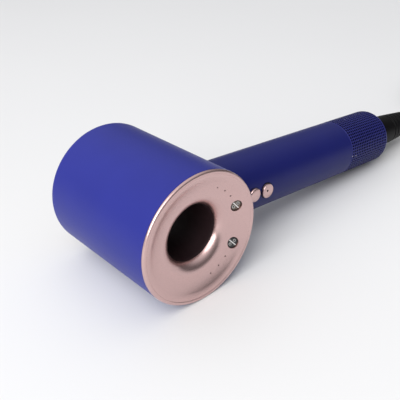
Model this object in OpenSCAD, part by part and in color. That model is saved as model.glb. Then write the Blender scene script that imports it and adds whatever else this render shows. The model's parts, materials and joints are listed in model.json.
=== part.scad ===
// Full-size electric hair dryer lying on its side: a short open barrel head,
// a long tubular handle with the motor inside, a mains lead wound into a coil.
// Millimetres. The floor is z = 0, +X runs from the head to the handle's end.

/* [Head] */
// Outer radius of the barrel head
head_r = 39; // [38.5:0.1:39.5]
// Overall length of the head, front lip to rear face
head_len = 91; // [90:0.5:92]
// Wall of the outer sleeve
sleeve_wall = 1.6; // [1.5:0.1:1.7]
// Radius of the straight hole through the head
bore_r = 16.5; // [16.3:0.1:16.6]
// Radius of the roll where the rear dish turns into the hole
lip_r = 8; // [7.5:0.1:8]
// Depth of the rear dish at the start of that roll
dish_depth = 4.2; // [4:0.1:4.4]

/* [Rear buttons and lights] */
// Distance of the two rear buttons from the head axis
btn_ring = 28.9; // [28.5:0.1:29.2]
// Half angle between the two rear buttons
btn_ang = 23.7; // [22.5:0.1:25]
// Turn of the whole button pattern about the head axis
face_turn = -2.5; // [-3:0.5:0]
// Radius of a rear button
btn_r = 3.38; // [3.3:0.01:3.4]
// Travel of a rear button
btn_travel = 0.8; // [0.5:0.1:0.8]

/* [Handle] */
// Outer radius of the handle
grip_r = 19.35; // [19.2:0.05:19.4]
// Distance from the head axis to the handle's end
grip_end = 204.7; // [204:0.1:206]
// Offset of the handle axis along the head axis
grip_y = -5.8; // [-6:0.1:-5.5]
// Where the filter cage starts
cage_start = 158.7; // [158.5:0.1:159]
// Rounding of the handle's end
end_round = 5; // [4.5:0.1:5]
// Place of the power slider along the handle
slider_s = 60.3; // [60:0.1:60.5]
// Place of the cool button along the handle
cool_s = 71; // [70.8:0.1:71.2]

/* [Air slot and seat] */
// Outer radius of the annular air slot
slot_r = 23.5; // [23.2:0.1:23.8]
// Radius of the seat that takes a nozzle
seat_r = 34; // [33.8:0.1:34]

/* [Mains lead] */
// Diameter of the lead
cord_d = 7.5; // [7.4:0.1:7.5]
// Radius of the middle column of coil turns
coil_mid = 44; // [43.5:0.5:44.5]

/* [Hidden] */
$fn = 72;

yr = -head_len/2;                 // rear face
yf = head_len/2;                  // front lip
rh = grip_r;
sleeve_in = head_r - sleeve_wall;
// lying on its side: head and the rounded handle end both touch the floor
lie_a = norm([grip_end - end_round, rh - end_round]);
tilt = asin((head_r - end_round)/lie_a) - atan2(rh - end_round, grip_end - end_round);
x_end = (grip_end - end_round)*cos(tilt) + (rh - end_round)*sin(tilt) + end_round;
xc = (x_end - head_r)/2;

module place() { translate([-xc, 0, head_r]) rotate([0, tilt, 0]) children(); }
// revolve about the head axis: 2-D x is radius, 2-D y is the place along the head
module about_y() { rotate([-90, 0, 0]) rotate_extrude() children(); }
// put children on the handle axis, their +Z along the handle
module on_grip(s = 0) { translate([s, grip_y, 0]) rotate([0, 90, 0]) children(); }
module about_x() { on_grip() rotate_extrude() children(); }
module tube_x(s0, s1, ri, ro) {
  on_grip(s0) difference() {
    cylinder(h = s1 - s0, r = ro);
    translate([0, 0, -1]) cylinder(h = s1 - s0 + 2, r = ri);
  }
}
module tube_y(y0, y1, ri, ro) {
  translate([0, y0, 0]) rotate([-90, 0, 0]) difference() {
    cylinder(h = y1 - y0, r = ro);
    translate([0, 0, -1]) cylinder(h = y1 - y0 + 2, r = ri);
  }
}
// straight out of the handle's rear side, +Z pointing outward, at q from its axis
module on_back(s, q) { translate([s, grip_y - q, 0]) rotate([90, 0, 0]) children(); }

// ---- rear dish ---------------------------------------------------------
lip_c = [bore_r + lip_r, yr + dish_depth + lip_r + 0.1];
lip_cut = -160;                    // where the rose lip ends and the dark duct takes over, degrees
function lip_pt(a, q) = lip_c + (lip_r - q)*[cos(a), sin(a)];
function dish(r) = dish_depth - 0.25*(r - lip_c[0]) - 0.0165*(r - lip_c[0])*(r - lip_c[0] - 4);
function dish_slope(r) = atan(0.25 + 0.0165*(2*(r - lip_c[0]) - 4));
module on_face(a, r) {
  rotate([0, -a, 0]) translate([r, yr + dish(r), 0])
    rotate([0, 0, -dish_slope(r)]) rotate([90, 0, 0]) children();
}
light_angs = [41.3, 54, 67.2];
light_ring = 28.5;

module rear_cover_shape() {
  lip_start = lip_c[0] - lip_r*sin(8);
  dish_out = [for (i = [0:9]) let (r = head_r - 5.5 - i*(head_r - 5.5 - lip_start)/10) [r, yr + dish(r)]];
  lip_out = [for (i = [0:14]) lip_pt(-98 + i*(lip_cut + 98)/14, 0)];
  lip_in = [for (i = [0:10]) lip_pt(lip_cut + i*(-90 - lip_cut)/10, 1.5)];
  dish_in = [for (i = [1:8]) let (r = lip_c[0] + i*(head_r - 5 - lip_c[0])/8) [r, yr + dish(r) + 1.55]];
  edge = [for (i = [0:6]) let (a = -i*15) [head_r - 1.35, yr + 1.35] + 1.35*[cos(a), sin(a)]];
  polygon(concat(
    [[head_r, yr + 1.6]], edge,
    [[head_r - 1.85, yr + 0.02], [head_r - 2.1, yr + 0.12], [head_r - 2.3, yr + 0.3], [head_r - 2.7, yr + 0.35],
     [head_r - 3.4, yr + 0.47], [head_r - 4.1, yr + 0.66], [head_r - 4.8, yr + 0.92]], dish_out, lip_out,
    lip_in, dish_in,
    [[head_r - 3.4, yr + 3.1], [head_r - 3.4, yr + 7.5], [sleeve_in - 0.1, yr + 7.5],
     [sleeve_in - 0.1, yr + 1.6]]));
}
module rear_cover() {
  color([0.80, 0.62, 0.60]) place() rotate([0, -face_turn, 0]) difference() {
    union() {
      about_y() rear_cover_shape();
      for (s = [-1, 1]) on_face(s*btn_ang, btn_ring) translate([0, 0, -5]) cylinder(h = 4.1, r = 4.7);
      for (a = [-52, 0, 52]) rotate([0, -a, 0]) translate([22.6, yr + 6, 0]) rotate([-90, 0, 0]) cylinder(h = 5.55, r = 2.2);
    }
    for (s = [-1, 1]) on_face(s*btn_ang, btn_ring) translate([0, 0, -8]) cylinder(h = 12, r = 3.5);
    for (s = [-1, 1], a = light_angs) rotate([0, -s*a, 0]) translate([light_ring, yr - 1, 0]) rotate([-90, 0, 0]) cylinder(h = 9, r = 0.45);
    for (a = [-52, 0, 52]) rotate([0, -a, 0]) translate([22.6, yr + 7.5, 0]) rotate([-90, 0, 0]) cylinder(h = 6, r = 1.15);
  }
}
module face_button() {
  // flat disc with a raised diagonal bar and two low round marks
  rotate_extrude() polygon([[0, -2], [0, -0.75], [btn_r - 0.3, -0.75], [btn_r, -1.05], [btn_r, -2]]);
  translate([0, 0, -5.3]) cylinder(h = 3.3, r = 2.4);
  translate([0, 0, -5.9]) cylinder(h = 0.6, r = 4.1);
  translate([0, 0, -6.5]) cylinder(h = 0.6, r = 1.3);
}
module face_marks(bar) {
  rotate([0, 0, bar]) translate([-2.7, -0.28, -0.76]) cube([5.4, 0.56, 0.26]);
}
module airflow_button() {
  color([0.35, 0.34, 0.33]) place() rotate([0, -face_turn, 0]) on_face(btn_ang, btn_ring) { face_button(); face_marks(-67); }
}
module heat_button() {
  color([0.35, 0.34, 0.33]) place() rotate([0, -face_turn, 0]) on_face(-btn_ang, btn_ring) { face_button(); face_marks(-20); }
}
module light_guides() {
  color([0.55, 0.50, 0.48]) place() rotate([0, -face_turn, 0])
    for (s = [-1, 1], a = light_angs) rotate([0, -s*a, 0])
      translate([light_ring, yr + dish(light_ring) + 0.3, 0]) rotate([-90, 0, 0]) cylinder(h = 8, r = 0.37);
}

// ---- head --------------------------------------------------------------
module outer_sleeve() {
  arc = [for (i = [0:6]) let (a = i*15) [head_r - 3, yf - 3] + 3*[cos(a), sin(a)]];
  color([0.22, 0.24, 0.62]) place() difference() {
    about_y() polygon(concat([[head_r, yr + 1.8]], arc,
      [[head_r - 3, yf - 2], [sleeve_in, yf - 3.4], [sleeve_in, yr + 1.8]]));
    on_grip(20) cylinder(h = 30, r = 17.2);
  }
}
module inner_duct() {
  // its mouth carries on the roll of the rose cover, from that cover's edge into the straight bore
  mouth = [for (i = [0:8]) lip_pt(lip_cut - 0.4 - i*(180 + lip_cut - 0.4)/8, 0)];
  back = [for (i = [0:6]) lip_pt(-180 + i*(180 + lip_cut - 0.4)/6, 1.5)];
  color([0.08, 0.07, 0.08]) place() about_y() polygon(concat(mouth,
    [[bore_r, yf - 4.2], [bore_r + 0.5, yf - 3.7], [20, yf - 3.7], [20, yf - 5.5], [18, yf - 15.5]], back));
}
module front_bezel() {
  color([0.74, 0.56, 0.55]) place() about_y() polygon([
    [slot_r, yf - 5.5], [slot_r + 0.6, yf - 3.5], [seat_r, yf - 3.5], [seat_r, yf - 0.3],
    [head_r - 3.1, yf - 0.3], [head_r - 3.1, yf - 6], [seat_r - 0.2, yf - 6], [seat_r - 0.2, yf - 5.2],
    [slot_r + 1.2, yf - 5.2], [slot_r + 1.2, yf - 9], [slot_r, yf - 9]]);
}
module magnet_carrier() {
  color([0.2, 0.2, 0.22]) place() difference() {
    tube_y(yf - 9, yf - 5.25, 25.2, 33.7);
    for (i = [0:5]) rotate([0, i*60 + 30, 0]) translate([29.4, yf - 8, 0]) rotate([-90, 0, 0]) cylinder(h = 4, r = 3);
  }
}
module attachment_magnets() {
  color([0.75, 0.75, 0.77]) place()
    for (i = [0:5]) rotate([0, i*60 + 30, 0]) translate([29.4, yf - 7.95, 0]) rotate([-90, 0, 0]) cylinder(h = 2.6, r = 2.95);
}
module head_frame() {
  color([0.12, 0.12, 0.13]) place() difference() {
    union() {
      tube_y(yr + 8.5, yf - 6.2, 35.7, sleeve_in - 0.12);
      difference() {
        on_grip(30) cylinder(h = 20, r = 16.9);
        translate([0, -60, 0]) rotate([-90, 0, 0]) cylinder(h = 120, r = 36);
      }
    }
    on_grip(25) cylinder(h = 30, r = 14.6);
  }
}
module rear_gasket() { color([0.1, 0.1, 0.1]) place() tube_y(yr + 7.55, yr + 8.45, 35.8, 37.1); }
module heater_frame() {
  color([0.78, 0.74, 0.62]) place() {
    tube_y(-8, -6, 18.2, 20.4);
    tube_y(26, 28, 18.2, 20.4);
    for (i = [0:7]) rotate([0, i*45 + 22.5, 0]) translate([19.3, -7, -0.35]) cube([14.1, 34, 0.7]);
  }
}
module heater_coils() {
  color([0.62, 0.60, 0.58]) place()
    for (y = [-3:4:24]) for (r = [24, 29.5]) translate([0, y, 0]) rotate([-90, 0, 0])
      rotate_extrude() translate([r, 0]) circle(r = 0.8, $fn = 16);
}
module thermal_cutout() {
  color([0.8, 0.8, 0.78]) place() rotate([0, 120, 0]) translate([27, -16, 0]) {
    rotate([-90, 0, 0]) cylinder(h = 4, r = 4.5);
    translate([0, 4, 0]) rotate([-90, 0, 0]) cylinder(h = 1.6, r = 2.6);
  }
}
module thermistor() {
  color([0.15, 0.3, 0.2]) place() rotate([0, 150, 0]) translate([27, 32.6, 0]) {
    sphere(r = 1.3, $fn = 24);
    translate([0, -6, 0]) rotate([-90, 0, 0]) cylinder(h = 6, r = 0.4, $fn = 16);
  }
}
module ionizer_module() { color([0.12, 0.12, 0.14]) place() translate([-33, -30, -5]) cube([12, 18, 10]); }
module emitter_pin() {
  color([0.85, 0.85, 0.85]) place() translate([-26, -12, 0]) rotate([-90, 0, 0]) {
    cylinder(h = 4, r = 1.6); translate([0, 0, 4]) cylinder(h = 6, r1 = 0.6, r2 = 0.15, $fn = 24);
  }
}
board_y = yr + 11.6;
module control_board() {
  color([0.05, 0.32, 0.18]) place() rotate([0, -face_turn, 0]) difference() {
    translate([0, board_y, 0]) rotate([-90, 0, 0]) difference() {
      cylinder(h = 1.5, r = 34.6);
      translate([0, 0, -1]) cylinder(h = 4, r = 19.4);
      translate([-60, -60, -1]) cube([60 - 4, 120, 4]);
    }
    for (a = [-52, 0, 52]) rotate([0, -a, 0]) translate([22.6, board_y - 1, 0]) rotate([-90, 0, 0]) cylinder(h = 4, r = 1.15);
  }
}
module tact_switches() {
  color([0.1, 0.1, 0.1]) place() rotate([0, -face_turn, 0])
    for (s = [-1, 1]) rotate([0, -s*btn_ang, 0]) translate([29.9, board_y - 1, -1.5]) cube([3, 1, 3]);
}
module board_screws() {
  color([0.7, 0.7, 0.72]) place() rotate([0, -face_turn, 0])
    for (a = [-52, 0, 52]) rotate([0, -a, 0]) translate([22.6, board_y + 1.5, 0]) rotate([-90, 0, 0]) {
      cylinder(h = 1.2, r = 2); translate([0, 0, -5.2]) cylinder(h = 5.3, r = 1.05);
    }
}
module rod(a, b, r) {
  d = b - a; l = norm(d);
  translate(a) rotate([0, acos(d[2]/l), atan2(d[1], d[0])]) cylinder(h = l, r = r, $fn = 16);
}
module wire(pts, r) {
  for (i = [0:len(pts) - 2]) rod(pts[i], pts[i + 1], r);
  for (i = [1:len(pts) - 2]) translate(pts[i]) sphere(r = r, $fn = 16);
}
function harness(z) = [[27, -31.6, 2*z], [27, -29, 2*z], [29.5, -24, 1.8*z], [30, -16, 1.6*z], [36, -9.5, z], [48, -7, z], [62, -6.4, z], [76, -7, z]];
module head_harness() {
  color([0.75, 0.12, 0.1]) place() tube(harness(2.2), 0.9, 8);
  color([0.1, 0.1, 0.12]) place() tube(harness(-2.2), 0.9, 8);
}

// ---- handle ------------------------------------------------------------
slide_travel = 3.5;
cool_travel = 1.2;
module handle_shell() {
  color([0.16, 0.18, 0.52]) place() difference() {
    tube_x(30, cage_start - 0.2, 17.5, rh);
    translate([0, -60, 0]) rotate([-90, 0, 0]) cylinder(h = 120, r = head_r + 0.05);
    // recess and slot of the power slider
    for (d = [0, -slide_travel]) on_back(slider_s + d, 18.35) cylinder(h = 4, r = 4.7);
    on_back(slider_s, 18.35) translate([-slide_travel, -4.7, 0]) cube([slide_travel, 9.4, 4]);
    for (d = [0, -slide_travel]) on_back(slider_s + d, 14) cylinder(h = 8, r = 2.2);
    on_back(slider_s, 14) translate([-slide_travel, -2.2, 0]) cube([slide_travel, 4.4, 8]);
    // hole of the cool button
    on_back(cool_s, 12) cylinder(h = 12, r = 4.75);
  }
}
module power_slider() {
  color([0.80, 0.62, 0.60]) place() on_back(slider_s, 0) rotate_extrude() polygon([
    [0, 14.2], [3.3, 14.2], [3.3, 15.6], [2, 15.6], [2, 18.5], [4.5, 18.5], [4.5, 19.7],
    [4.3, 20.15], [3.8, 20.5], [2.9, 20.76], [1.6, 20.92], [0, 20.97]]);
}
module cool_button() {
  color([0.80, 0.62, 0.60]) place() on_back(cool_s, 0) rotate_extrude() polygon([
    [0, 14.6], [5.4, 14.6], [5.4, 15.8], [4.6, 15.8], [4.6, 20.3], [4.45, 20.58], [4.15, 20.66], [3.85, 20.55],
    [3, 20.32], [1.8, 20.15], [0.75, 20.1], [0.65, 19.75], [0, 19.7]]);
}
module switch_board() {
  color([0.05, 0.32, 0.18]) place() translate([52, grip_y - 11.2, -6.5]) cube([28, 1.2, 13]);
}
module handle_switches() {
  color([0.1, 0.1, 0.1]) place() {
    translate([slider_s - 5.5, grip_y - 13.6, -3]) cube([9, 2.4, 6]);
    translate([cool_s - 3, grip_y - 12.5, -3]) cube([6, 1.3, 6]);
    on_back(cool_s, 12.5) cylinder(h = 0.6, r = 1.5);
  }
}
module motor_housing() {
  color([0.55, 0.56, 0.58]) place() difference() {
    union() {
      tube_x(86, 128, 13.45, 14.6);
      tube_x(86, 90, 4, 6.2);
      for (a = [0:120:240]) on_grip(86.5) rotate([0, 0, a]) translate([5.5, -1.2, 0]) cube([8.4, 2.4, 3]);
    }
    on_grip(80) cylinder(h = 12, r = 4);
  }
}
module front_motor_mount() { color([0.09, 0.09, 0.09]) place() tube_x(88, 92, 14.65, 17.4); }
module rear_motor_mount() { color([0.09, 0.09, 0.09]) place() tube_x(122, 127, 14.65, 17.4); }
module stator_core() {
  color([0.5, 0.5, 0.52]) place() union() {
    tube_x(93, 103, 10.8, 13.4);
    for (a = [0:90:270]) on_grip(93) rotate([0, 0, a]) translate([5.4, -1.8, 0]) cube([6, 3.6, 10]);
  }
}
module stator_coils() {
  color([0.72, 0.40, 0.18]) place()
    for (a = [0:90:270]) on_grip(92) rotate([0, 0, a]) difference() {
      translate([6.4, -3.2, 0]) cube([3.9, 6.4, 12]);
      translate([6, -1.9, 0.9]) cube([5, 3.8, 10.2]);
    }
}
module rotor_magnet() { color([0.3, 0.3, 0.32]) place() tube_x(91.5, 104.5, 1.5, 4.9); }
module motor_shaft() { color([0.8, 0.8, 0.82]) place() on_grip(85) cylinder(h = 38, r = 1.5); }
module impeller() {
  color([0.72, 0.72, 0.70]) place() difference() {
    union() {
      on_grip(112.5) cylinder(h = 9, r1 = 7.5, r2 = 5.2);
      for (i = [0:12]) on_grip(113) rotate([0, 0, i*360/13]) translate([5, 0, 0]) rotate([28, 0, 0]) translate([0, -0.4, 0.4]) cube([7.6, 0.8, 7.4]);
    }
    on_grip(110) cylinder(h = 20, r = 1.5);
  }
}
module diffuser_vanes() {
  color([0.15, 0.15, 0.16]) place() difference() {
    union() {
      tube_x(105.5, 111.5, 4, 7.5);
      for (i = [0:10]) on_grip(105.5) rotate([0, 0, i*360/11]) translate([7, -0.4, 0]) cube([6.3, 0.8, 6]);
    }
    on_grip(100) cylinder(h = 20, r = 4);
  }
}
module front_bearing() { color([0.8, 0.8, 0.8]) place() tube_x(86.5, 89.6, 1.55, 3.98); }
module rear_bearing() { color([0.8, 0.8, 0.8]) place() tube_x(106.5, 109.6, 1.55, 3.98); }
module acoustic_foam() { color([0.18, 0.18, 0.18]) place() tube_x(130, 144, 12.5, 17.4); }
module power_board() { color([0.05, 0.32, 0.18]) place() translate([146, grip_y - 11, -1.6]) cube([42, 22, 1.6]); }
module power_components() {
  color([0.16, 0.16, 0.18]) place() {
    translate([150, grip_y - 8, 0]) cube([10, 16, 7]);
    for (y = [-5, 5]) translate([166, grip_y + y, 0]) cylinder(h = 8, r = 3.8);
    translate([172, grip_y - 8, 0]) cube([6, 7, 8]);
    translate([172, grip_y + 2, 0]) cube([9, 6, 4]);
    translate([152, grip_y - 7, -5.6]) cube([24, 14, 4]);
  }
}
module intake_frame() {
  color([0.12, 0.12, 0.13]) place() difference() {
    union() {
      tube_x(156, 199, 15.2, 16.6);
      tube_x(149, 158, 15.2, 17.45);
    }
    for (a = [0:60:120], s = [162, 180]) on_grip(s) rotate([0, 0, a]) translate([-20, -5.5, 0]) cube([40, 11, 15]);
  }
}
module filter_mesh() { color([0.45, 0.45, 0.47]) place() tube_x(159, 198.5, 16.7, 17.0); }
module filter_cage() {
  prof = [for (i = [0:8]) let (a = i*90/8) [rh - end_round, grip_end - end_round] + end_round*[cos(a), sin(a)]];
  color([0.16, 0.18, 0.48]) place() difference() {
    about_x() polygon(concat([[rh, cage_start]], prof, [[13, grip_end], [13, grip_end - 1.7],
      [rh - 4.8, grip_end - 1.7], [rh - 1.75, grip_end - 4.8], [rh - 1.75, cage_start]]));
    for (a = [0:18:162]) for (s = [163, 176, 189]) on_grip(s) rotate([0, 0, a]) translate([-25, -1.3, 0]) cube([50, 2.6, 10]);
  }
}
module end_cap() {
  color([0.1, 0.1, 0.11]) place() difference() {
    union() { on_grip(199.05) cylinder(h = 1.2, r = 16.6); on_grip(200.2) cylinder(h = 2.05, r = 14.6); }
    on_grip(190) cylinder(h = 20, r = 3.8);
    for (y = [-8, 8]) on_grip(190) translate([0, y, 0]) cylinder(h = 12, r = 1.25);
  }
}
module cord_clamp() {
  color([0.2, 0.2, 0.22]) place() difference() {
    on_grip(193.5) translate([-4.5, -11, 0]) cube([9, 22, 5.5]);
    on_grip(190) cylinder(h = 20, r = 3.8);
    for (y = [-8, 8]) on_grip(190) translate([0, y, 0]) cylinder(h = 12, r = 1.25);
  }
}
module clamp_screws() {
  color([0.7, 0.7, 0.72]) place() for (y = [-8, 8]) {
    on_grip(191.9) translate([0, y, 0]) cylinder(h = 1.6, r = 2.2);
    on_grip(193.4) translate([0, y, 0]) cylinder(h = 8, r = 1.15);
  }
}
module mains_wires() {
  color([0.3, 0.18, 0.1]) place() {
    on_grip(190.5) cylinder(h = 11.8, r = cord_d/2);
    for (y = [-1.8, 1.8]) wire([[190.6, grip_y + y, 0], [188.9, grip_y + y, 1.4], [183, grip_y + 2.2*y, 1.3]], 1.1);
  }
}

// ---- mains lead --------------------------------------------------------
guard_end = 255;
module cord_guard() {
  ribs = [for (i = [0:4]) each let (s = 227 + i*4.4, r = 10.9 - i*0.36) [[r, s], [r - 0.12, s + 2.9], [r - 0.9, s + 3.3], [r - 0.9, s + 3.9]]];
  color([0.07, 0.07, 0.08]) place() about_x() polygon(concat(
    [[0, 202.4], [11.9, 202.4], [11.9, grip_end + 0.5], [11.5, 215], [11.1, 225.4], [10.2, 225.9], [10.2, 226.6]],
    ribs, [[9.2, 249.2], [8.9, 251], [7.6, 252.6], [5.6, 253.6], [4.5, 254.2], [4.2, guard_end], [0, guard_end]]));
}
// a point of the handle axis, in the frame of the whole
function grip_pt(s) = [s*cos(tilt) - xc, grip_y, head_r - s*sin(tilt)];
out_dir = [cos(tilt), 0, -sin(tilt)];
coil_c = [280, -9];
coil_in = 205;                     // where the lead joins the coil, degrees
coil_out = 343;                    // where the tail meets the plug, degrees
r_out = coil_mid + cord_d;
r_in = coil_mid - cord_d;
function coil_pt(a, r, z) = [coil_c[0] + r*cos(a), coil_c[1] + r*sin(a), z];
join_dir = [-sin(coil_in), cos(coil_in), 0];
join_pt = coil_pt(coil_in, r_out, cord_d/2);
// control points of the lead: straight out of the boot, down to the floor, round into the coil
route = [grip_pt(guard_end) - 12*out_dir, grip_pt(guard_end), grip_pt(guard_end) + 12*out_dir,
  [195, -6, 11.2], [207, -8, 9.2], [218, -12.5, 6.8],
  join_pt - 12*join_dir + [0, 0, 0.8], join_pt, join_pt + 12*join_dir];
function bspline(p, i, t) =
  (pow(1 - t, 3)*p[i] + (3*pow(t, 3) - 6*t*t + 4)*p[i + 1] + (-3*pow(t, 3) + 3*t*t + 3*t + 1)*p[i + 2] + pow(t, 3)*p[i + 3])/6;
function ease(t) = t*t*(3 - 2*t);
lead_pts = [for (i = [0:len(route) - 4], k = [0:2]) bspline(route, i, k/3), bspline(route, len(route) - 4, 1)];
// the tail climbs from the last turn over the coil to the plug lying on it
plug_z = 3*cord_d + 8.1;
tail_pts = [for (i = [0:16]) let (a = coil_in - 26 + i*(coil_out - coil_in + 26)/16, t = i/16)
  coil_pt(a, r_in, 2.5*cord_d + 3 + (plug_z - 2.5*cord_d - 3)*ease(t))];
module tube(pts, r, n = 10) {
  m = len(pts);
  tang = [for (i = [0:m - 1]) let (d = pts[min(i + 1, m - 1)] - pts[max(i - 1, 0)]) d/norm(d)];
  v = [for (i = [0:m - 1]) let (s0 = cross(tang[i], [0, 0, 1]), s = s0/norm(s0), u = cross(s, tang[i]))
    for (k = [0:n - 1]) pts[i] + r*(cos(k*360/n)*s + sin(k*360/n)*u)];
  polyhedron(points = v, faces = concat(
    [[for (k = [0:n - 1]) k]],
    [for (i = [0:m - 2], k = [0:n - 1]) [i*n + k, (i + 1)*n + k, (i + 1)*n + (k + 1)%n, i*n + (k + 1)%n]],
    [[for (k = [n - 1:-1:0]) (m - 1)*n + k]]), convexity = 6);
}
module cord_lead() { color([0.06, 0.06, 0.07]) tube(lead_pts, cord_d/2); }
module cord_tail() { color([0.06, 0.06, 0.07]) tube(tail_pts, cord_d/2); }
module cord_coil() {
  color([0.06, 0.06, 0.07]) translate([coil_c[0], coil_c[1], 0]) rotate_extrude($fn = 96)
    translate([coil_mid - 1.5*cord_d, 0]) polygon([
      [1.5, 0], [3*cord_d - 1.5, 0], [3*cord_d, 1.5], [3*cord_d, 3*cord_d - 1.5],
      [3*cord_d - 1.5, 3*cord_d], [1.5, 3*cord_d], [0, 3*cord_d - 1.5], [0, 1.5]]);
}
module cord_tie() {
  w = 3*cord_d;
  color([0.1, 0.1, 0.1]) translate([coil_c[0], coil_c[1], 0]) rotate([0, 0, 90]) difference() {
    translate([coil_mid - w/2 - 1.3, -6, 0]) cube([w + 2.6, 12, w + 1.2]);
    translate([coil_mid - w/2 - 0.2, -7, 0.8]) cube([w + 0.4, 14, w - 0.5]);
  }
}
module at_plug() {
  translate(coil_pt(coil_out, r_in, plug_z)) rotate([0, 0, coil_out]) rotate([-90, 0, 0]) children();
}
// two-pin plug of the double-insulated kind, +Z towards the pins, its wide side flat
module plug_slab(w, t, z0, z1) {
  translate([0, 0, z0]) linear_extrude(z1 - z0) union() {
    square([w - t, t], center = true);
    for (s = [-1, 1]) translate([s*(w - t)/2, 0]) circle(r = t/2, $fn = 48);
  }
}
module plug_body() {
  color([0.07, 0.07, 0.08]) at_plug() union() {
    rotate_extrude($fn = 48) polygon([[0, 0.05], [4.4, 0.05], [4.8, 0.6], [6.6, 21], [0, 21]]);
    hull() { plug_slab(18, 13, 20, 20.6); plug_slab(34, 16, 28, 28.6); }
    plug_slab(34, 16, 28, 50);
  }
}
module plug_pins() {
  color([0.78, 0.78, 0.76]) at_plug() for (s = [-1, 1]) translate([s*9.5, 0, 50.05]) {
    cylinder(h = 17.4, r = 2.4, $fn = 48); translate([0, 0, 17.4]) cylinder(h = 1.6, r1 = 2.4, r2 = 1.2, $fn = 48);
  }
}

outer_sleeve();
rear_cover();
inner_duct();
front_bezel();
magnet_carrier();
attachment_magnets();
head_frame();
rear_gasket();
heater_frame();
heater_coils();
thermal_cutout();
thermistor();
ionizer_module();
emitter_pin();
control_board();
tact_switches();
light_guides();
airflow_button();
heat_button();
board_screws();
head_harness();
handle_shell();
power_slider();
cool_button();
switch_board();
handle_switches();
motor_housing();
front_motor_mount();
rear_motor_mount();
stator_core();
stator_coils();
rotor_magnet();
motor_shaft();
impeller();
diffuser_vanes();
front_bearing();
rear_bearing();
acoustic_foam();
power_board();
power_components();
intake_frame();
filter_mesh();
filter_cage();
end_cap();
cord_clamp();
clamp_screws();
mains_wires();
cord_guard();
cord_lead();
cord_coil();
cord_tail();
cord_tie();
plug_body();
plug_pins();
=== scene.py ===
import bpy, bmesh, math, json
import numpy as np
from mathutils import Vector, Matrix


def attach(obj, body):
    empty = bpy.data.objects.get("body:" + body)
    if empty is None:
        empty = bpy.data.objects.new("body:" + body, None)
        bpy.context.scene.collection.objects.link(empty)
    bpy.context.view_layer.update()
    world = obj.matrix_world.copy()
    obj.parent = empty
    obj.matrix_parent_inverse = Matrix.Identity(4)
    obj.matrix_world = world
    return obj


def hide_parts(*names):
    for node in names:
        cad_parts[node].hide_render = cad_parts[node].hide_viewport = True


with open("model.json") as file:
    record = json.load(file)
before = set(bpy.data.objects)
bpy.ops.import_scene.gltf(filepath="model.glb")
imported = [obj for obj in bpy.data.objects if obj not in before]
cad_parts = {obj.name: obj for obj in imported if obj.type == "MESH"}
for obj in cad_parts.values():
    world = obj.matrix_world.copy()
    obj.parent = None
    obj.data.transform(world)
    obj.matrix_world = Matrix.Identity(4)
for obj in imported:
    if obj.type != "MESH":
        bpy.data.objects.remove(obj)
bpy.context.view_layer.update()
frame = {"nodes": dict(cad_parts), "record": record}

# ------------------------------------------------------------------ frame numbers (mm)
HEAD_R, GRIP_R, GRIP_END, GRIP_Y, END_R = 39.0, 19.35, 204.7, -5.8, 5.0
YR = -45.5
_l = math.hypot(GRIP_END - END_R, GRIP_R - END_R)
TILT = math.asin((HEAD_R - END_R) / _l) - math.atan2(GRIP_R - END_R, GRIP_END - END_R)
CT, ST = math.cos(TILT), math.sin(TILT)
X_END = (GRIP_END - END_R) * CT + (GRIP_R - END_R) * ST + END_R
XC = (X_END - HEAD_R) / 2


def place(p):
    """from the dryer's own frame (head axis Y, handle axis X), mm, to the row frame, m"""
    x, y, z = p
    return Vector(((x * CT + z * ST - XC), y, (-x * ST + z * CT + HEAD_R))) / 1000


def place_np(a):
    a = np.asarray(a, float)
    return np.stack([a[:, 0] * CT + a[:, 2] * ST - XC, a[:, 1], -a[:, 0] * ST + a[:, 2] * CT + HEAD_R], 1) / 1000


# ------------------------------------------------------------------ camera
az, el, roll, dist = math.radians(-39.8), math.radians(30.41), math.radians(-3.12), 0.37993
back = Vector((math.sin(az) * math.cos(el), -math.cos(az) * math.cos(el), math.sin(el)))
target = Vector((0.03623 - XC / 1000, -0.00149, 0.030))
right = (-back).cross(Vector((0, 0, 1))).normalized()
up = right.cross(-back)
r2 = math.cos(roll) * right + math.sin(roll) * up
u2 = -math.sin(roll) * right + math.cos(roll) * up
cam_data = bpy.data.cameras.new("camera")
cam = bpy.data.objects.new("camera", cam_data)
bpy.context.scene.collection.objects.link(cam)
cam.matrix_world = Matrix((
    (r2.x, u2.x, back.x, 0), (r2.y, u2.y, back.y, 0), (r2.z, u2.z, back.z, 0), (0, 0, 0, 1)))
cam.location = target + back * dist
cam_data.sensor_width = 36
cam_data.lens = 617.83 / 400 * 36
cam_data.clip_start = 0.01
cam_data.clip_end = 50
bpy.context.scene.camera = cam


# ------------------------------------------------------------------ helpers
def link(o):
    bpy.context.scene.collection.objects.link(o)
    return o


def mesh_obj(name, verts, faces, smooth=True, material=None):
    me = bpy.data.meshes.new(name)
    me.from_pydata([tuple(v) for v in verts], [], [tuple(f) for f in faces])
    me.validate()
    me.update()
    if smooth:
        me.polygons.foreach_set("use_smooth", [True] * len(me.polygons))
    o = link(bpy.data.objects.new(name, me))
    if material:
        me.materials.append(material)
    return o


def apply_mods(o):
    dg = bpy.context.evaluated_depsgraph_get()
    me = bpy.data.meshes.new_from_object(o.evaluated_get(dg))
    o.modifiers.clear()
    o.data = me
    return o


def nodes_of(m):
    return m.node_tree.nodes, m.node_tree.links


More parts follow.
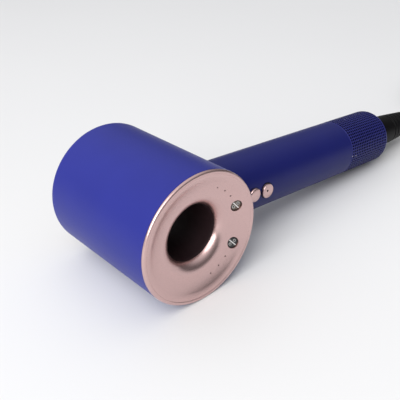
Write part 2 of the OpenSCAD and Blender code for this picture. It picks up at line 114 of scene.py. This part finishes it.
def material(name, base, rough=0.5, metal=0.0, vary=0.06, vary_scale=60.0, bump=0.05, bump_scale=900.0,
             bump_dist=0.0001, rough_vary=0.06, coat=0.0, coat_rough=0.2, sheen=0.0, ior=1.5, spec=0.5,
             detail=3.0, alpha=1.0, transmission=0.0):
    m = bpy.data.materials.new(name)
    m.use_nodes = True
    n, l = nodes_of(m)
    b = n["Principled BSDF"]
    b.inputs["Metallic"].default_value = metal
    b.inputs["IOR"].default_value = ior
    b.inputs["Specular IOR Level"].default_value = spec
    b.inputs["Coat Weight"].default_value = coat
    b.inputs["Coat Roughness"].default_value = coat_rough
    b.inputs["Sheen Weight"].default_value = sheen
    b.inputs["Sheen Roughness"].default_value = 0.5
    b.inputs["Transmission Weight"].default_value = transmission
    b.inputs["Alpha"].default_value = alpha
    tc = n.new("ShaderNodeTexCoord")
    nz = n.new("ShaderNodeTexNoise")
    nz.inputs["Scale"].default_value = vary_scale
    nz.inputs["Detail"].default_value = detail
    l.new(tc.outputs["Object"], nz.inputs["Vector"])
    ramp = n.new("ShaderNodeValToRGB")
    lo = [max(0, c * (1 - vary)) for c in base]
    hi = [min(1, c * (1 + vary)) for c in base]
    ramp.color_ramp.elements[0].position = 0.3
    ramp.color_ramp.elements[1].position = 0.7
    ramp.color_ramp.elements[0].color = (*lo, 1)
    ramp.color_ramp.elements[1].color = (*hi, 1)
    l.new(nz.outputs["Fac"], ramp.inputs["Fac"])
    l.new(ramp.outputs["Color"], b.inputs["Base Color"])
    mr = n.new("ShaderNodeMapRange")
    mr.inputs["From Min"].default_value = 0.3
    mr.inputs["From Max"].default_value = 0.7
    mr.inputs["To Min"].default_value = max(0.02, rough - rough_vary)
    mr.inputs["To Max"].default_value = min(1.0, rough + rough_vary)
    nz2 = n.new("ShaderNodeTexNoise")
    nz2.inputs["Scale"].default_value = bump_scale
    nz2.inputs["Detail"].default_value = 2.0
    l.new(tc.outputs["Object"], nz2.inputs["Vector"])
    l.new(nz2.outputs["Fac"], mr.inputs["Value"])
    l.new(mr.outputs["Result"], b.inputs["Roughness"])
    if bump:
        bp = n.new("ShaderNodeBump")
        bp.inputs["Strength"].default_value = bump
        bp.inputs["Distance"].default_value = bump_dist
        l.new(nz2.outputs["Fac"], bp.inputs["Height"])
        l.new(bp.outputs["Normal"], b.inputs["Normal"])
    return m


# ------------------------------------------------------------------ materials
BLUE = material("sleeve_blue", (0.020, 0.026, 0.235), rough=0.42, vary=0.04, vary_scale=35, bump=0.10,
                bump_scale=4200, bump_dist=0.00004, rough_vary=0.04, spec=0.20)
# the sleeve's blue paint made darker for the handle: painted shade, not a different paint
HANDLE_BLUE_SHADE = material("handle_blue_painted_shade", (0.007, 0.010, 0.118), rough=0.42, vary=0.04, vary_scale=35, bump=0.10,
                 bump_scale=4200, bump_dist=0.00004, rough_vary=0.04, spec=0.24)
CAGE = material("cage_blue", (0.018, 0.021, 0.165), rough=0.42, vary=0.05, vary_scale=60, bump=0.1,
                bump_scale=4200, bump_dist=0.00004, rough_vary=0.05, spec=0.25)
# near-black for the cage's inner side and hole walls: painted shade
CAGE_INSIDE_SHADE = material("cage_inside_painted_shade", (0.002, 0.002, 0.004), rough=0.8, vary=0.1, bump=0.0, spec=0.02)
ROSE = material("rose_metal", (0.64, 0.445, 0.43), rough=0.30, metal=1.0, vary=0.04, vary_scale=5200,
                bump=0.05, bump_scale=5200, bump_dist=0.00003, rough_vary=0.04)
BLACK_GLOSS = material("duct_black", (0.026, 0.014, 0.016), rough=0.34, vary=0.1, bump=0.03, bump_scale=1500)
SMOKED = material("smoked_chrome", (0.20, 0.185, 0.17), rough=0.25, metal=1.0, vary=0.12, vary_scale=900,
                  bump=0.05, bump_scale=2600, bump_dist=0.00002, rough_vary=0.06)
BAR = material("bar_metal", (0.80, 0.78, 0.76), rough=0.25, metal=0.9, vary=0.05, bump=0.02)
FRAME_BLACK = material("frame_black", (0.010, 0.010, 0.012), rough=0.5, spec=0.3, vary=0.12, bump=0.12, bump_scale=2500)
STEEL = material("steel", (0.56, 0.56, 0.58), rough=0.3, metal=1.0, vary=0.05, bump=0.06, bump_scale=1400)
PIPE = material("light_pipe", (0.10, 0.07, 0.065), rough=0.3, vary=0.1, bump=0.02)
MICA = material("mica", (0.55, 0.50, 0.38), rough=0.6, vary=0.15, vary_scale=300, bump=0.1)
WIRE_HOT = material("heater_wire", (0.42, 0.39, 0.36), rough=0.35, metal=1.0, vary=0.1, bump=0.05)
BOARD = material("board_green", (0.015, 0.13, 0.055), rough=0.4, vary=0.15, vary_scale=500, bump=0.08)
COMP = material("component_black", (0.03, 0.03, 0.035), rough=0.5, vary=0.1, bump=0.1)
WIRE = material("wire_insulation", (0.30, 0.04, 0.03), rough=0.4, vary=0.08, bump=0.03)
CAST = material("motor_metal", (0.48, 0.48, 0.50), rough=0.4, metal=1.0, vary=0.06, bump=0.1, bump_scale=1200)
COPPER = material("copper", (0.62, 0.26, 0.10), rough=0.3, metal=1.0, vary=0.1, bump=0.2, bump_scale=1500)
RUBBER = material("rubber_black", (0.0035, 0.0032, 0.0036), rough=0.45, vary=0.15, vary_scale=150, bump=0.15,
                  bump_scale=3000, bump_dist=0.00005, spec=0.10)
SHEATH = material("cord_black", (0.006, 0.006, 0.007), rough=0.42, spec=0.3, vary=0.12, bump=0.12, bump_scale=2400,
                  bump_dist=0.00005)
PIN = material("pin_metal", (0.68, 0.68, 0.65), rough=0.2, metal=1.0, vary=0.04, bump=0.03)
MESH_DARK = material("mesh_dark", (0.003, 0.003, 0.008), rough=0.6, metal=0.0, spec=0.05, vary=0.3, vary_scale=1500, bump=0.4,
                     bump_scale=2600)
BY_SLOT = {
    "sleeve_blue": BLUE, "rose_metal": ROSE, "duct_black": BLACK_GLOSS, "button_dark": SMOKED,
    "frame_black": FRAME_BLACK, "steel": STEEL, "light_pipe": PIPE, "mica": MICA, "heater_wire": WIRE_HOT,
    "board_green": BOARD, "component_black": COMP, "wire": WIRE, "motor_metal": CAST, "copper": COPPER,
    "rubber_black": RUBBER, "cord_black": SHEATH, "pin_metal": PIN}
slot_of = {s["node"]: s["material_slot"] for s in frame["record"]["subparts"]}
for name, o in frame["nodes"].items():
    m = BY_SLOT[slot_of[name]]
    # the handle shell takes the darkened copy of the sleeve blue: painted shade
    if name == "handle_shell":
        m = HANDLE_BLUE_SHADE
    if name == "filter_mesh":
        m = MESH_DARK
    o.data.materials.clear()
    o.data.materials.append(m)

# the raised bar of each rear button is brighter than its disc
TURN = math.radians(-2.5)
SLOPE = math.atan(0.25 + 0.0165 * (2 * (28.9 - 24.5) - 4))
DISH = 4.2 - 0.25 * 4.4 - 0.0165 * 4.4 * 0.4


def key_frame(sign):
    """centre, radial, tangential and outward directions of a rear button, on the dish"""
    ph = math.radians(23.7 * sign) + TURN
    cp, sp_, cs, ss = math.cos(ph), math.sin(ph), math.cos(SLOPE), math.sin(SLOPE)
    c = np.array([28.9 * cp, YR + DISH, 28.9 * sp_])
    return c, np.array([cs * cp, -ss, cs * sp_]), np.array([-sp_, 0, cp]), np.array([-ss * cp, -cs, -ss * sp_])


def dirs_np(v):
    return np.array([v[0] * CT + v[2] * ST, v[1], -v[0] * ST + v[2] * CT])


for nm, sign in (("airflow_button", 1), ("heat_button", -1)):
    o = frame["nodes"][nm]
    c, _, _, n_out = key_frame(sign)
    cw, nw = np.array(place(c)), dirs_np(n_out)
    o.data.materials.append(BAR)
    for poly in o.data.polygons:
        pc = np.array(o.matrix_world @ poly.center)
        if (pc - cw) @ nw > -0.00072:
            poly.material_index = len(o.data.materials) - 1


def key_face(name, sign, tone, body):
    """thin disc over the button's face: shaded crescent, mid tone, two round marks"""
    c, t1, t2, n_out = key_frame(sign)
    R, N = 3.1, 44
    verts, faces, idx = [], [], []
    for j in range(N + 1):
        for i in range(N + 1):
            x, y = (2 * i / N - 1), (2 * j / N - 1)
            # square to disc
            u = x * math.sqrt(1 - y * y / 2) * R
            w = y * math.sqrt(1 - x * x / 2) * R
            verts.append(c + u * t1 + w * t2 + n_out * (-0.735))
    r_img, u_img = np.array(r2), np.array(u2)
    T1, T2 = dirs_np(t1), dirs_np(t2)

    def img(u, w):
        v = u * T1 + w * T2
        return float(v @ r_img), float(v @ u_img)
    for j in range(N):
        for i in range(N):
            a = j * (N + 1) + i
            faces.append((a, a + 1, a + N + 2, a + N + 1))
            x, y = (2 * (i + 0.5) / N - 1), (2 * (j + 0.5) / N - 1)
            u = x * math.sqrt(1 - y * y / 2) * R
            w = y * math.sqrt(1 - x * x / 2) * R
            px, py = img(u, w)
            k = 0
            # upper-left crescent in the shade of the recess
            su, sw = u, w
            best = None
            du = (-0.75 * r_img + 0.65 * u_img)
            du = du - dirs_np(n_out) * float(du @ dirs_np(n_out))
            du = du / np.linalg.norm(du)
            au, aw = float(du @ T1), float(du @ T2)
            if math.hypot(u + au * 0.75, w + aw * 0.75) > R:
                k = 1
            # two marks, up-right and down-left of the bar
            for sg in (1, -1):
                d = math.hypot(px - sg * 1.25, py - sg * 1.05)
                if k == 0 and 0.45 < d < 0.80:
                    k = 2
                elif k == 0 and d <= 0.45:
                    k = 3
            idx.append(k)
    verts = place_np(verts)
    o = mesh_obj(name, verts, faces, smooth=False)
    for m in (tone, FRAME_BLACK, MARK, FRAME_BLACK):
        o.data.materials.append(m)
    for poly, k in zip(o.data.polygons, idx):
        poly.material_index = k
    nrm = o.data.polygons[len(o.data.polygons) // 2].normal
    if float(np.array(nrm) @ dirs_np(n_out)) < 0:
        o.data.flip_normals()
    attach(o, body)
    return o


MARK = material("mark_metal", (0.50, 0.49, 0.47), rough=0.3, metal=1.0, vary=0.05, bump=0.02)
TONE_A = material("key_tone_a", (0.17, 0.145, 0.125), rough=0.3, metal=1.0, vary=0.12, vary_scale=1500, bump=0.05)
TONE_B = material("key_tone_b", (0.07, 0.07, 0.07), rough=0.3, metal=1.0, vary=0.12, vary_scale=1500, bump=0.05)
key_face("airflow_face", 1, TONE_A, "airflow_key")
key_face("heat_face", -1, TONE_B, "heat_key")


def on_handle(s0, q):
    """a point of the handle's skin, s0 along the axis and q across it (upward), on the side of the buttons"""
    rr = GRIP_R + 0.03
    return (s0, GRIP_Y - math.sqrt(rr * rr - q * q), q)


# a thin near-black annulus on the handle's skin round a button: painted shade of the gap
def painted_gap_shade_ring(name, s0, r_in, r_out, body, mat, n=48):
    verts, faces = [], []
    for i in range(n):
        t = 2 * math.pi * i / n
        for r in (r_in, r_out):
            verts.append(on_handle(s0 + r * math.cos(t), r * math.sin(t)))
    for i in range(n):
        a, b = 2 * i, 2 * ((i + 1) % n)
        faces.append((a, a + 1, b + 1, b))
    o = mesh_obj(name, place_np(verts), faces, smooth=False, material=mat)
    if o.data.polygons[0].normal.y > 0:
        o.data.flip_normals()
    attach(o, body)
    return o


def axis_of(node):
    b = [frame["nodes"][node].matrix_world @ Vector(c) for c in frame["nodes"][node].bound_box]
    c = np.array(sum(b, Vector())) / 8 * 1000
    c = c + np.array([XC, 0, -HEAD_R])
    return float(c[0] * CT - c[2] * ST)


SLIDER_S, COOL_S = axis_of("power_slider"), axis_of("cool_button")
# near-black for the ring round the cool button and for its centre dimple: painted shade
BUTTON_SHADE_DARK = material("button_painted_shade", (0.004, 0.004, 0.008), rough=0.7, vary=0.1, bump=0.0, spec=0.1)
painted_gap_shade_ring("cool_gap_painted_shade", COOL_S, 4.55, 5.15, "dryer_body", BUTTON_SHADE_DARK)
# the centre dimple of the cool button is coloured near-black: painted shade in the dimple
ob = frame["nodes"]["cool_button"]
ob.data.materials.append(BUTTON_SHADE_DARK)
for poly in ob.data.polygons:
    pc = np.array(ob.matrix_world @ poly.center) * 1000 + np.array([XC, 0, -HEAD_R])
    ss, zz = pc[0] * CT - pc[2] * ST, pc[0] * ST + pc[2] * CT
    if math.hypot(ss - COOL_S, zz) < 0.78 and pc[1] < GRIP_Y - 19:
        poly.material_index = len(ob.data.materials) - 1


def dot_at(name, px, py, r, mat):
    """small disc on the handle's skin where the line of sight through a picture point meets it"""
    fpx = 617.83
    d = (-back + (px - 200) / fpx * r2 - (py - 200) / fpx * u2).normalized()
    o0 = cam.location * 1000
    o_ = np.array([o0.x + XC, o0.y, o0.z - HEAD_R])
    d_ = np.array(d)
    o_d = np.array([o_[0] * CT - o_[2] * ST, o_[1], o_[0] * ST + o_[2] * CT])
    d_d = np.array([d_[0] * CT - d_[2] * ST, d_[1], d_[0] * ST + d_[2] * CT])
    oy, oz, dy, dz = o_d[1] - GRIP_Y, o_d[2], d_d[1], d_d[2]
    A, B, C = dy * dy + dz * dz, 2 * (oy * dy + oz * dz), oy * oy + oz * oz - (GRIP_R + 0.05) ** 2
    k = (-B - math.sqrt(B * B - 4 * A * C)) / (2 * A)
    h = o_d + k * d_d
    a0 = math.atan2(h[2], h[1] - GRIP_Y)
    verts = [h]
    n = 16
    for i in range(n):
        t = 2 * math.pi * i / n
        a = a0 + r * math.sin(t) / GRIP_R
        verts.append((h[0] + r * math.cos(t), GRIP_Y + (GRIP_R + 0.05) * math.cos(a), (GRIP_R + 0.05) * math.sin(a)))
    faces = [(0, 1 + i, 1 + (i + 1) % n) for i in range(n)]
    o = mesh_obj(name, place_np(verts), faces, smooth=False, material=mat)
    if float(np.array(o.data.polygons[0].normal) @ np.array(back)) < 0:
        o.data.flip_normals()
    return o, float(h[0])


DOT = material("mark_pale", (0.42, 0.40, 0.48), rough=0.4, vary=0.05, bump=0.0)
for i, (px, py) in enumerate(((352.6, 156.4), (356.0, 155.8))):
    o, s_at = dot_at("alignment_dot_%d" % (i + 1), px, py, 0.42, DOT)
    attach(o, "dryer_body" if s_at < 158.6 else "cage")

# ------------------------------------------------------------------ the lead: one curve of its real length
CORD_D = 7.5
COIL_C, COIL_MID = (280.0, -9.0), 44.0
COIL_IN, COIL_OUT, GUARD_END = 205.0, 343.0, 255.0


def grip_pt(s):
    return np.array([s * CT - XC, GRIP_Y, HEAD_R - s * ST])


out_dir = np.array([CT, 0, -ST])


def coil_pt(a, r, z):
    return np.array([COIL_C[0] + r * math.cos(math.radians(a)), COIL_C[1] + r * math.sin(math.radians(a)), z])


join_dir = np.array([-math.sin(math.radians(COIL_IN)), math.cos(math.radians(COIL_IN)), 0])
join_pt = coil_pt(COIL_IN, COIL_MID + CORD_D, CORD_D / 2)
route = [grip_pt(GUARD_END) - 12 * out_dir, grip_pt(GUARD_END), grip_pt(GUARD_END) + 12 * out_dir,
         np.array([195, -6, 11.2]), np.array([207, -8, 9.2]), np.array([218, -12.5, 6.8]),
         join_pt - 12 * join_dir + [0, 0, 0.8], join_pt, join_pt + 12 * join_dir]


def bspline(p, i, t):
    return ((1 - t) ** 3 * p[i] + (3 * t ** 3 - 6 * t * t + 4) * p[i + 1]
            + (-3 * t ** 3 + 3 * t * t + 3 * t + 1) * p[i + 2] + t ** 3 * p[i + 3]) / 6


def ease(t):
    return t * t * (3 - 2 * t)


line = []
for i in range(len(route) - 3):
    for k in range(4):
        line.append(bspline(route, i, k / 4))
# nine turns: three columns by three rows, each turn stepping over in the last 50 degrees
cols = [1, 0, -1, -1, 0, 1, 1, 0, -1, -1]
rows = [0, 0, 0, 1, 1, 1, 2, 2, 2, 3]
STEP = 20
for turn in range(9):
    for k in range(STEP):
        a = k * 360 / STEP
        f = ease(max(0.0, (a - 310) / 50))
        c = cols[turn] + (cols[turn + 1] - cols[turn]) * f
        w = rows[turn] + (rows[turn + 1] - rows[turn]) * f
        if turn == 0 and k == 0:
            continue
        line.append(coil_pt(COIL_IN + a, COIL_MID + c * CORD_D, CORD_D * (w + 0.5)))
plug_z = 3 * CORD_D + 8.1
for k in range(0, 9):
    a = k * (COIL_OUT - COIL_IN) / 8
    z = CORD_D * 3.5 + (plug_z - CORD_D * 3.5) * ease(k / 8)
    line.append(coil_pt(COIL_IN + a, COIL_MID - CORD_D, z))
line = np.array(line) / 1000
cu = bpy.data.curves.new("mains_lead", "CURVE")
cu.dimensions = "3D"
cu.bevel_depth = CORD_D / 2000
cu.bevel_resolution = 5
cu.resolution_u = 3
cu.use_fill_caps = True
sp = cu.splines.new("NURBS")
sp.points.add(len(line) - 1)
for p, q in zip(sp.points, line):
    p.co = (*q, 1)
sp.order_u = 3
sp.use_endpoint_u = True
cord = link(bpy.data.objects.new("mains_lead", cu))
cu.materials.append(SHEATH)
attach(cord, "dryer_body")
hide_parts("cord_lead", "cord_coil", "cord_tail")

# ------------------------------------------------------------------ the perforated filter cage
CAGE_START = 158.7


def cage_mesh():
    """profile rows of (radius, s, perforated?) swept round the handle axis, with square holes left out"""
    n_round = 60
    pitch = 2.05
    hole_t, hole_a = 0.68, 0.66
    rows_s = []
    s = CAGE_START
    rows_s.append((GRIP_R - 0.25, s, 0))
    rows_s.append((GRIP_R, s + 0.25, 0))
    s0 = s + 0.9
    k = 0
    while s0 + (k + 1) * pitch < GRIP_END - 3.6:
        a = s0 + k * pitch
        for q, flag in ((a, 1), (a + hole_a * pitch, 0)):
            rows_s.append((None, q, flag))
        k += 1
    last = s0 + k * pitch
    prof = []
    for r, q, flag in rows_s:
        if r is None:
            d = q - (GRIP_END - END_R)
            r = GRIP_R if d <= 0 else GRIP_R - END_R + math.sqrt(max(0, END_R ** 2 - d * d))
        prof.append((r, q, flag))
    d0 = last - (GRIP_END - END_R)
    a0 = math.asin(max(0.0, min(1.0, d0 / END_R)))
    for i in range(0, 9):
        a = a0 + (math.pi / 2 - a0) * i / 8
        prof.append((GRIP_R - END_R + END_R * math.cos(a), GRIP_END - END_R + END_R * math.sin(a), 0))
    prof.append((13.4, GRIP_END, 0))
    prof.append((13.0, GRIP_END - 0.3, 0))
    prof.append((13.0, GRIP_END - 1.4, 0))
    ang = []
    for i in range(n_round):
        a = i * 360 / n_round
        w = 360 / n_round
        ang += [(a, 1), (a + w * hole_t, 0)]
    na = len(ang)
    verts = []
    for r, q, _ in prof:
        for a, _ in ang:
            t = math.radians(a)
            verts.append((q, GRIP_Y + r * math.cos(t), r * math.sin(t)))
    faces = []
    for i in range(len(prof) - 1):
        for j in range(na):
            if prof[i][2] and ang[j][1]:
                continue
            a, b = i * na + j, i * na + (j + 1) % na
            faces.append((a, a + na, b + na, b))
    return place_np(verts), faces


v, f = cage_mesh()
cage = mesh_obj("cage_shell", v, f, material=CAGE)
sol = cage.modifiers.new("thick", "SOLIDIFY")
sol.thickness = 0.0003
sol.offset = 1
sol.use_even_offset = True
apply_mods(cage)
# the walls of the holes and the inner side get a near-black colour: painted shade inside the cage
cage.data.materials.append(CAGE_INSIDE_SHADE)
for poly in cage.data.polygons:
    pc = np.array(poly.center) * 1000 + np.array([XC, 0, -HEAD_R])
    pn = np.array(poly.normal)
    rad = np.array([pc[0] * ST * 0, pc[1] - GRIP_Y, pc[0] * ST + pc[2] * CT])
    s_at = pc[0] * CT - pc[2] * ST
    ns, nz = pn[0] * CT - pn[2] * ST, pn[0] * ST + pn[2] * CT
    outward = (rad[1] * pn[1] + rad[2] * nz) / max(1e-6, math.hypot(rad[1], rad[2]))
    if outward < 0.5 and CAGE_START + 0.5 < s_at < GRIP_END - 2.5:
        poly.material_index = 1
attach(cage, "cage")
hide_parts("filter_cage")

# ------------------------------------------------------------------ stage and light
fm = bpy.data.meshes.new("floor")
fm.from_pydata([(-6, -6, 0), (6, -6, 0), (6, 6, 0), (-6, 6, 0)], [], [(0, 1, 2, 3)])
floor = link(bpy.data.objects.new("floor", fm))
FLOOR = material("floor_white", (0.80, 0.80, 0.805), rough=0.6, vary=0.01, vary_scale=2, bump=0.0, spec=0.25)
fm.materials.append(FLOOR)

world = bpy.data.worlds.new("world")
bpy.context.scene.world = world
world.use_nodes = True
wn, wl = world.node_tree.nodes, world.node_tree.links
w_tc = wn.new("ShaderNodeTexCoord")
w_dot = wn.new("ShaderNodeVectorMath")
w_dot.operation = "DOT_PRODUCT"
w_dot.inputs[1].default_value = (-0.20, 0.22, 0.95)
wl.new(w_tc.outputs["Generated"], w_dot.inputs[0])
w_ramp = wn.new("ShaderNodeValToRGB")
w_ramp.color_ramp.interpolation = "EASE"
w_ramp.color_ramp.elements[0].position = 0.0
w_ramp.color_ramp.elements[0].color = (0.13, 0.13, 0.135, 1)
w_ramp.color_ramp.elements[1].position = 0.9
w_ramp.color_ramp.elements[1].color = (0.95, 0.955, 0.97, 1)
wl.new(w_dot.outputs["Value"], w_ramp.inputs["Fac"])
wl.new(w_ramp.outputs["Color"], wn["Background"].inputs["Color"])
wn["Background"].inputs["Strength"].default_value = 0.98


def area(name, loc, aim, size, size_y, energy, color=(1, 1, 1)):
    d = bpy.data.lights.new(name, "AREA")
    d.shape = "RECTANGLE"
    d.size, d.size_y, d.energy, d.color = size, size_y, energy, color
    o = link(bpy.data.objects.new(name, d))
    o.location = loc
    o.rotation_euler = (Vector(aim) - Vector(loc)).to_track_quat("-Z", "Y").to_euler()
    return o


area("left_window", (-1.95, -0.62, 1.15), (0.02, 0.0, 0.02), 1.5, 1.4, 32.0, (1.0, 0.998, 0.99))
area("front_top", (-1.15, -0.62, 1.95), (0.02, 0.02, 0.0), 1.4, 1.1, 14.0, (1.0, 0.998, 0.99))

scene = bpy.context.scene
scene.view_settings.view_transform = "Standard"
scene.view_settings.look = "None"
scene.view_settings.exposure = 0
scene.view_settings.gamma = 1
